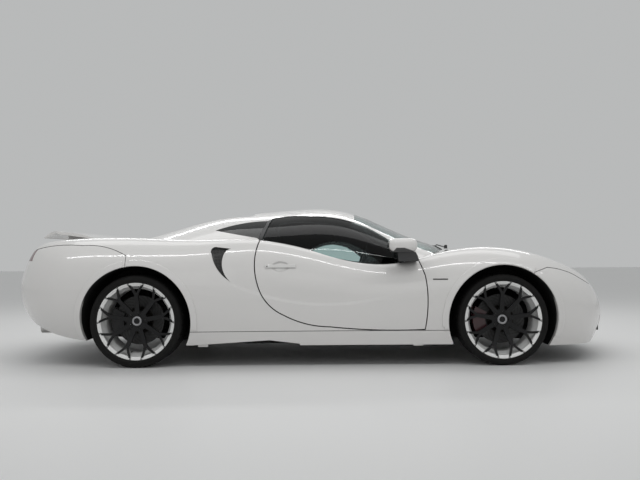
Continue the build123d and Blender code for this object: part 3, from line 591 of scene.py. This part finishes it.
def pressed(thing, node, off, thick, rounding):
    """Press a flat piece sideways on a panel, drop the faces that miss its skin and make the rest solid."""
    press = thing.modifiers.new("press", "SHRINKWRAP")
    press.wrap_method = "PROJECT"
    press.target = nodes[node]
    press.use_project_y = True
    press.use_positive_direction = True
    press.use_negative_direction = True
    press.wrap_mode = "ABOVE_SURFACE"
    press.offset = off
    apply_all(thing)
    choose(thing, lambda face: abs(face.center.y) > MISSED_Y or abs(face.normal.y) < STEEP)
    bpy.ops.mesh.delete(type="FACE")
    bpy.ops.mesh.select_all(action="SELECT")
    bpy.ops.mesh.normals_make_consistent(inside=False)
    bpy.ops.object.mode_set(mode="OBJECT")
    solid = thing.modifiers.new("solid", "SOLIDIFY")
    solid.thickness = thick
    solid.offset = 0.0
    if rounding:
        edge = thing.modifiers.new("rounding", "BEVEL")
        edge.width = rounding
        edge.segments = 3
        edge.limit_method = "ANGLE"
    apply_all(thing)
    return thing


def laid_on(node, across_x, across_z, side, cuts, off, thick, rounding, outline=None):
    """A strip laid on a side panel: a grid, cut to an outline and pressed on the skin."""
    middle = (sum(across_x) / 2, side * STRIP_Y, sum(across_z) / 2)
    size = (across_x[1] - across_x[0], across_z[1] - across_z[0])
    bpy.ops.mesh.primitive_grid_add(
        x_subdivisions=cuts[0], y_subdivisions=cuts[1], size=1.0, location=middle, rotation=(pi / 2, 0, 0)
    )
    thing = bpy.context.active_object
    thing.scale = (*size, 1.0)
    bpy.ops.object.transform_apply(location=True, rotation=True, scale=True)
    if outline:
        choose(thing, lambda face: not outline(face.center.x, face.center.z))
        bpy.ops.mesh.delete(type="FACE")
        bpy.ops.object.mode_set(mode="OBJECT")
    return pressed(thing, node, off, thick, rounding)


HANDLE_X = (-0.345, -0.128)
HANDLE_Z = (0.699, 0.722)
KEYHOLE = (-0.332, 0.7105)
VENT_X = (0.842, 0.946)
VENT_Z = (0.609, 0.617)
handle_paint = Finish("handle_paint", {"Roughness": 0.34, "Coat Weight": 1.0, "Coat Roughness": 0.02})
x, _, z = handle_paint.axes()
keyhole = (((x - KEYHOLE[0]) ** 2 + (z - KEYHOLE[1]) ** 2) ** 0.5).step(0.0052, 0.0045)
handle_paint.put("Base Color", handle_paint.mix(keyhole, PEARL, (0.02, 0.02, 0.02, 1.0)))
for hand, side in HANDS.items():
    laid_on(f"door_{hand}", HANDLE_X, HANDLE_Z, side, (24, 4), 0.006, 0.009, 0.0035)
    settle(f"door_handle_{hand}", handle_paint, f"door_{hand}")
    laid_on(f"fender_{hand}", VENT_X, VENT_Z, side, (12, 2), 0.001, 0.003, 0.001)
    settle(f"fender_trim_{hand}", trim, "car")

# ---------------------------------------------------------------- arch lips
# A flat lip runs round each wheel arch. It is moulded on the panels, so their shut lines part it,
# and it is sprayed with them.
LIP_RADII = (0.392, 0.403, 0.414, 0.425, 0.436)
LIP_STEPS = 120
LIP_FOOT = 0.20  # above the panels' lower edges
LIP_PROUD = 0.0012
LIP_THICK = 0.010
LIP_ROUND = 0.003
LIP_CARRIERS = {"front": ("fender_{}", "front_bumper"), "rear": ("quarter_{}", "rear_bumper")}
for end, axle in AXLES.items():
    for hand, side in HANDS.items():
        lips = []
        for carrier in LIP_CARRIERS[end]:
            centre = (axle["x"], side * STRIP_Y, axle["z"])
            lip = turned([(radius, 0.0) for radius in LIP_RADII], centre, "Y", LIP_STEPS)
            choose(lip, lambda face: face.center.z < LIP_FOOT)
            bpy.ops.mesh.delete(type="FACE")
            bpy.ops.object.mode_set(mode="OBJECT")
            lips.append(pressed(lip, carrier.format(hand), LIP_PROUD, LIP_THICK, LIP_ROUND))
        join(lips)
        settle(f"arch_lip_{end}_{hand}", plain_paint, "car")

# ---------------------------------------------------------------- side intakes
# Behind each door a crescent opening feeds the engine. A woven wire mesh, dipped black and clipped in from
# behind, closes it.
INTAKE = [(-0.590, 0.838), (-0.622, 0.826), (-0.640, 0.800), (-0.641, 0.730)]
INTAKE += [(-0.622, 0.668), (-0.588, 0.605), (-0.650, 0.678), (-0.700, 0.738)]
INTAKE += [(-0.728, 0.800), (-0.725, 0.832), (-0.708, 0.846), (-0.690, 0.850)]
INTAKE_X = (-0.735, -0.583)
INTAKE_Z = (0.600, 0.856)
WIRES = (15, 26)  # wires along and up
WIRE = 0.0022
WIRE_DARK = (0.07, 0.07, 0.07, 1.0)
WIRE_PALE = (0.11, 0.11, 0.11, 1.0)


def in_intake(x, z):
    """Whether a point is inside the opening, seen from the side."""
    crossings = 0
    for (x_a, z_a), (x_b, z_b) in zip(INTAKE, INTAKE[1:] + INTAKE[:1]):
        if (z_a > z) != (z_b > z) and x < x_a + (z - z_a) / (z_b - z_a) * (x_b - x_a):
            crossings += 1
    return crossings % 2 == 1


wire_paint = Finish("dipped_wire", {"Roughness": 0.35})
wire_paint.put("Base Color", wire_paint.mix(wire_paint.noise(200.0), WIRE_DARK, WIRE_PALE))
for hand, side in HANDS.items():
    mesh = laid_on("grilles", INTAKE_X, INTAKE_Z, side, WIRES, 0.004, 0.0005, 0.0, in_intake)
    wires = mesh.modifiers.new("wires", "WIREFRAME")
    wires.thickness = WIRE
    apply_all(mesh)
    settle(f"intake_mesh_{hand}", wire_paint, "car")

# ---------------------------------------------------------------- glass
# Laminated and toughened panes, faintly green, bonded at their edges. The panes behind the doors are dark,
# and a dark film covers the upper and the rear part of each door's glass.
PANE_GREEN = (0.74, 0.83, 0.82, 1.0)
PANE_DARK = (0.06, 0.07, 0.07, 1.0)
DOOR_GREEN = (0.74, 0.86, 0.85, 1.0)
FILM = (0.03, 0.035, 0.035, 1.0)
tinted = Finish("tinted_glass", {"Roughness": 0.0, "Transmission Weight": 1.0, "IOR": 1.45})
x, _, _ = tinted.axes()
tinted.put("Base Color", tinted.mix(x.step(-0.300, -0.301), PANE_GREEN, PANE_DARK))
dress(tinted, "fixed_windows")

side_tint = Finish("side_glass", {"Roughness": 0.0, "Transmission Weight": 1.0, "IOR": 1.28})
x, _, z = side_tint.axes()
above = (z - (0.885 - 1.6 * (x - 0.16) ** 2)).step(-0.004, 0.006)
behind = x.step(-0.10, -0.13)
film = 1.0 - (1.0 - above) * (1.0 - behind)
side_tint.put("Base Color", side_tint.mix(film, DOOR_GREEN, FILM))
dress(side_tint, "door_window_left", "door_window_right")

# ---------------------------------------------------------------- headlamps
# Swept-back lamps: a clear moulded cover let into the fender and, under it, three bowls of bright metal,
# set in a row.
LAMP_BOWLS = [(1.735, 0.672, 0.022), (1.800, 0.655, 0.020), (1.862, 0.622, 0.018)]  # x, y, radius
BOWL = [(1.10, -0.10), (1.10, 0.28), (1.00, 0.30), (0.92, 0.05)]
BOWL += [(0.62, -0.35), (0.30, -0.52), (0.22, -0.30), (0.01, -0.22)]
BOWL_SINK = 0.013  # a bowl's middle under the lens
CLEAR = (0.78, 0.80, 0.81, 1.0)
CLEAR_PALE = (0.84, 0.86, 0.87, 1.0)
clear = Finish("lamp_lens", {"Roughness": 0.02, "Transmission Weight": 0.95, "IOR": 1.49})
clear.put("Base Color", clear.mix(clear.noise(5.0), CLEAR, CLEAR_PALE))
dress(clear, "headlamps")
for hand, side in HANDS.items():
    bowls = []
    for x, y, radius in LAMP_BOWLS:
        _, place, _, _ = nodes["headlamps"].ray_cast(Vector((x, side * y, 1.2)), Vector((0, 0, -1)))
        centre = (x, side * y, place.z - BOWL_SINK)
        bowls.append(turned([(radius * r, radius * h) for r, h in BOWL], centre, "Z", 40))
    join(bowls)
    settle(f"headlamp_bowls_{hand}", chrome, "car")

# ---------------------------------------------------------------- tail lamps
# Two round red lamps a side, sunk in the tail. Each cover is moulded in one piece, with a brighter ring
# near its edge and fine ripples inside.
TAIL_LAMPS = [(0.640, 0.768), (0.512, 0.742)]  # y, z
TAIL_LAMP_R = 0.054
LAMP_RED = (0.085, 0.002, 0.005, 1.0)
RING_RED = (0.30, 0.006, 0.012, 1.0)
red = Finish("red_lens", {"Roughness": 0.07, "Coat Weight": 1.0})
_, y, z = red.axes()
ring, ripple = 0.0, 0.0
for lamp_y, lamp_z in TAIL_LAMPS:
    away = ((abs(y) - lamp_y) ** 2 + (z - lamp_z) ** 2) ** 0.5
    inside = away.step(TAIL_LAMP_R, TAIL_LAMP_R - 0.001)
    ring = ring + away.step(0.036, 0.037) * away.step(0.048, 0.047)
    ripple = ripple + (away * 1200.0).wave() * inside
red.put("Base Color", red.mix(ring, LAMP_RED, RING_RED))
red.bump(0.0004 * ripple)
dress(red, "tail_lamps")

# ---------------------------------------------------------------- number plate
# A blank plate of enamelled sheet, with a thin dark line round it, lies in the recess of the tail. Two
# dome-headed screws hold it.
PLATE = {"x": -2.2690, "half": 0.250, "low": 0.492, "high": 0.598}
PLATE_SCREW_Y = 0.1525
PLATE_SCREW_Z = 0.545
PLATE_WHITE = (0.62, 0.62, 0.61, 1.0)
PLATE_LINE = (0.12, 0.12, 0.12, 1.0)
SCREW = [(0.0002, -0.0045), (0.0040, -0.0040), (0.0062, -0.0022), (0.0068, 0.0), (0.0068, 0.003)]
plate_finish = Finish("plate_enamel", {"Roughness": 0.35})
_, y, z = plate_finish.axes()
line = abs(y).step(0.2425, 0.2430) * abs(y).step(0.2460, 0.2455)
plate_finish.put("Base Color", plate_finish.mix(line, PLATE_WHITE, PLATE_LINE))
low = (PLATE["x"] - 0.001, -PLATE["half"], PLATE["low"])
high = (PLATE["x"] + 0.0015, PLATE["half"], PLATE["high"])
block(low, high, 0.0008)
settle("plate_blank", plate_finish, "car")
screws = []
for side in HANDS.values():
    head = (PLATE["x"] - 0.001, side * PLATE_SCREW_Y, PLATE_SCREW_Z)
    screws.append(turned(SCREW, head, "X", 20))
join(screws)
settle("plate_screws", zinc, "car")

# ---------------------------------------------------------------- wipers
# Each blade hangs from a pressed steel arm, sprayed black, on a splined pivot that comes up through the
# cowl. A round cap covers the pivot's nut.
# pivot and blade, x and y
WIPER_ARMS = [((1.036, -0.385), (1.004, -0.150)), ((1.036, 0.120), (0.990, 0.300))]
UNDER_WIPERS = ("fixed_windows", "roof_frame", "fender_right", "fender_left")
PIVOT_RISE = 0.016  # an arm's ends above what lies under them
BLADE_RISE = 0.026
WIPER_ARM_HALF = 0.0075
PIVOT = [(0.0002, 0.020), (0.0090, 0.019), (0.0120, 0.014), (0.0125, -0.004), (0.0150, -0.010)]
arms = []
for pivot, blade in WIPER_ARMS:
    ends = []
    for (x, y), rise in ((pivot, PIVOT_RISE), (blade, BLADE_RISE)):
        over = Vector((x, y, 1.4))
        tops = [nodes[name].ray_cast(over, Vector((0, 0, -1))) for name in UNDER_WIPERS]
        ends.append(Vector((x, y, max(place.z for hit, place, _, _ in tops if hit) + rise)))
    span = ends[1] - ends[0]
    turn = (0, -atan2(span.z, hypot(span.x, span.y)), atan2(span.y, span.x))
    middle = (ends[0] + ends[1]) / 2
    half = Vector((span.length / 2, WIPER_ARM_HALF, 0.004))
    arms.append(block(middle - half, middle + half, 0.003, turn))
    arms.append(turned(PIVOT, ends[0], "Z", 24))
join(arms)
settle("wiper_arms", trim, "car")

# ---------------------------------------------------------------- dashboard, console and wheel
# A padded dashboard, a console over the tunnel and a steering wheel, all bound in black leather. A hood
# shades the instruments, and a screen, four round vents, a gear lever and a mirror are fitted to them.
LEATHER = (0.010, 0.010, 0.011, 1.0)
LEATHER_WORN = (0.018, 0.018, 0.019, 1.0)
SCREEN_BLACK = (0.004, 0.004, 0.005, 1.0)
SCREEN_BLUE = (0.007, 0.008, 0.010, 1.0)
# lowest corner, highest corner and rounding
HOOD = ((0.585, 0.200, 0.715), (0.760, 0.540, 0.768), 0.020)
SCREEN = ((0.5925, -0.125, 0.585), (0.6010, 0.125, 0.705), 0.004)
MIRROR = ((0.150, -0.125, 0.895), (0.178, 0.125, 0.962), 0.013)
leather = Finish("black_leather", {"Roughness": 0.5, "Specular IOR Level": 0.4})
leather.put("Base Color", leather.mix(leather.noise(20.0), LEATHER, LEATHER_WORN))
leather.bump(0.0004 * leather.noise(900.0))
dress(leather, "dashboard")
block(*HOOD)
settle("instrument_hood", leather, "car")
screen = Finish("dark_screen", {"Roughness": 0.08, "Coat Weight": 1.0})
screen.put("Base Color", screen.mix(screen.noise(3.0), SCREEN_BLACK, SCREEN_BLUE))
block(*SCREEN)
settle("centre_screen", screen, "car")
VENT = [(0.0002, 0.002), (0.0080, 0.001), (0.0100, -0.003), (0.0250, -0.003)]
VENT += [(0.0260, -0.009), (0.0350, -0.009), (0.0360, 0.0)]
VENTS_Y = (-0.660, -0.200, 0.200, 0.660)
vents = [turned(VENT, (0.600, y, 0.660), "X", 36) for y in VENTS_Y]
join(vents)
settle("air_vents", trim, "car")
LEVER = [(0.0002, 0.105), (0.0150, 0.100), (0.0220, 0.085), (0.0200, 0.062)]
LEVER += [(0.0090, 0.050), (0.0080, 0.0), (0.034, -0.004)]
turned(LEVER, (0.300, 0.0, 0.430), "Z", 32)
settle("gear_lever", leather, "car")
STEM = [(0.0002, 0.0), (0.006, 0.0), (0.006, 0.150), (0.020, 0.158), (0.0201, 0.166)]
block(*MIRROR)
settle("interior_mirror", trim, "car")
turned(STEM, (0.164, 0.0, 0.955), "Z", 20)
settle("interior_mirror_stem", trim, "car")

# ---------------------------------------------------------------- seats
# Two bucket seats of foam on a moulded shell, covered in leather, with side bolsters and a fixed headrest.
# Each is bolted to the floor.
SEAT_BLACK = (0.012, 0.012, 0.013, 1.0)
SEAT_WORN = (0.022, 0.021, 0.022, 1.0)
SEAT_RAKE = radians(-12)
# name, lowest and highest corner for the left seat, whether it leans with the back, fullness
CUSHIONS = [
    ("seat_cushion", (-0.250, 0.235, 0.215), (0.228, 0.560, 0.352), False, 0.7),
    ("seat_bolster_in", (-0.235, 0.158, 0.215), (0.218, 0.245, 0.400), False, 0.8),
    ("seat_bolster_out", (-0.235, 0.550, 0.215), (0.218, 0.634, 0.400), False, 0.8),
    ("seat_back", (-0.358, 0.235, 0.330), (-0.262, 0.560, 0.820), True, 0.6),
    ("seat_wing_in", (-0.350, 0.165, 0.350), (-0.205, 0.250, 0.790), True, 0.8),
    ("seat_wing_out", (-0.350, 0.546, 0.350), (-0.205, 0.630, 0.790), True, 0.8),
    ("seat_headrest", (-0.352, 0.290, 0.815), (-0.262, 0.505, 0.955), True, 0.7),
]
seat_leather = Finish("seat_leather", {"Roughness": 0.48, "Specular IOR Level": 0.4})
seat_leather.put("Base Color", seat_leather.mix(seat_leather.noise(14.0), SEAT_BLACK, SEAT_WORN))
seat_leather.bump(0.0003 * seat_leather.noise(1100.0))
for hand, side in HANDS.items():
    for name, low, high, leans, fill in CUSHIONS:
        y_low, y_high = sorted((side * low[1], side * high[1]))
        turn = (0, SEAT_RAKE, 0) if leans else (0, 0, 0)
        cushion = block((low[0], y_low, low[2]), (high[0], y_high, high[2]), 0.0, turn)
        bpy.ops.object.mode_set(mode="EDIT")
        bpy.ops.mesh.select_all(action="SELECT")
        bpy.ops.mesh.subdivide(number_cuts=2)
        bpy.ops.object.mode_set(mode="OBJECT")
        soft = cushion.modifiers.new("soft", "SUBSURF")
        soft.levels = 3
        soft.render_levels = 3
        apply_all(cushion)
        settle(f"{name}_{hand}", seat_leather, "car")
        if hand == "left" and name == "seat_back":
            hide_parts("seats")

# ---------------------------------------------------------------- studio
# A plain pale floor under a plain pale sky, lit by soft boxes: one overhead, two strips and a fill. The
# camera looks at the car's right side.
FLOOR_PALE = (0.74, 0.74, 0.74, 1.0)
FLOOR_WARM = (0.76, 0.76, 0.755, 1.0)
FLOOR_SIZE = 60.0
bpy.ops.object.select_all(action="DESELECT")
bpy.ops.mesh.primitive_plane_add(size=FLOOR_SIZE, location=(0, 0, 0))
floor = bpy.context.active_object
floor.name = "studio_floor"
floor_finish = Finish("studio_floor", {"Roughness": 0.5, "Specular IOR Level": 0.3})
floor_finish.put("Base Color", floor_finish.mix(floor_finish.noise(0.6), FLOOR_PALE, FLOOR_WARM))
floor.data.materials.append(floor_finish.material)

world = bpy.data.worlds.new("studio_air")
world.use_nodes = True
bpy.context.scene.world = world
tree = world.node_tree
background = tree.nodes["Background"]
rays = tree.nodes.new("ShaderNodeLightPath")
seen = tree.nodes.new("ShaderNodeMath")
seen.operation = "MAXIMUM"
tree.links.new(rays.outputs["Is Camera Ray"], seen.inputs[0])
tree.links.new(rays.outputs["Is Transmission Ray"], seen.inputs[1])
level = tree.nodes.new("ShaderNodeMapRange")
level.inputs["To Min"].default_value = 0.50
level.inputs["To Max"].default_value = 0.49
tree.links.new(seen.outputs[0], level.inputs["Value"])
tree.links.new(level.outputs[0], background.inputs["Strength"])
background.inputs["Color"].default_value = (0.985, 1.0, 1.0, 1.0)

# name, place, size along x and y, tilt about x, power
SOFT_BOXES = [
    ("box_over", (0.0, 0.5, 4.2), (7.0, 1.6), 0.0, 45.0),
    ("strip_right", (0.0, -2.4, 3.4), (8.0, 0.16), radians(-30), 42.0),
    ("strip_left", (0.0, 3.4, 3.6), (8.0, 0.30), radians(35), 50.0),
    ("fill", (0.5, -9.0, 3.2), (10.0, 3.0), radians(-72), 25.0),
]
for name, place, (size_x, size_y), tilt, power in SOFT_BOXES:
    bpy.ops.object.light_add(type="AREA", location=place, rotation=(-tilt, 0, 0))
    lamp = bpy.context.active_object
    lamp.name = name
    lamp.data.shape = "RECTANGLE"
    lamp.data.size = size_x
    lamp.data.size_y = size_y
    lamp.data.energy = power

CAMERA_PLACE = (0.045, -5.95, 0.80)
CAMERA_TURN = (pi / 2 + 0.0191, 0.0068, 0.0)  # a touch upwards and a touch rolled
LENS = 39.7
SENSOR = 36.0
bpy.ops.object.camera_add(location=CAMERA_PLACE, rotation=CAMERA_TURN)
camera = bpy.context.active_object
camera.data.sensor_width = SENSOR
camera.data.lens = LENS
bpy.context.scene.camera = camera
bpy.context.scene.view_settings.view_transform = "Standard"
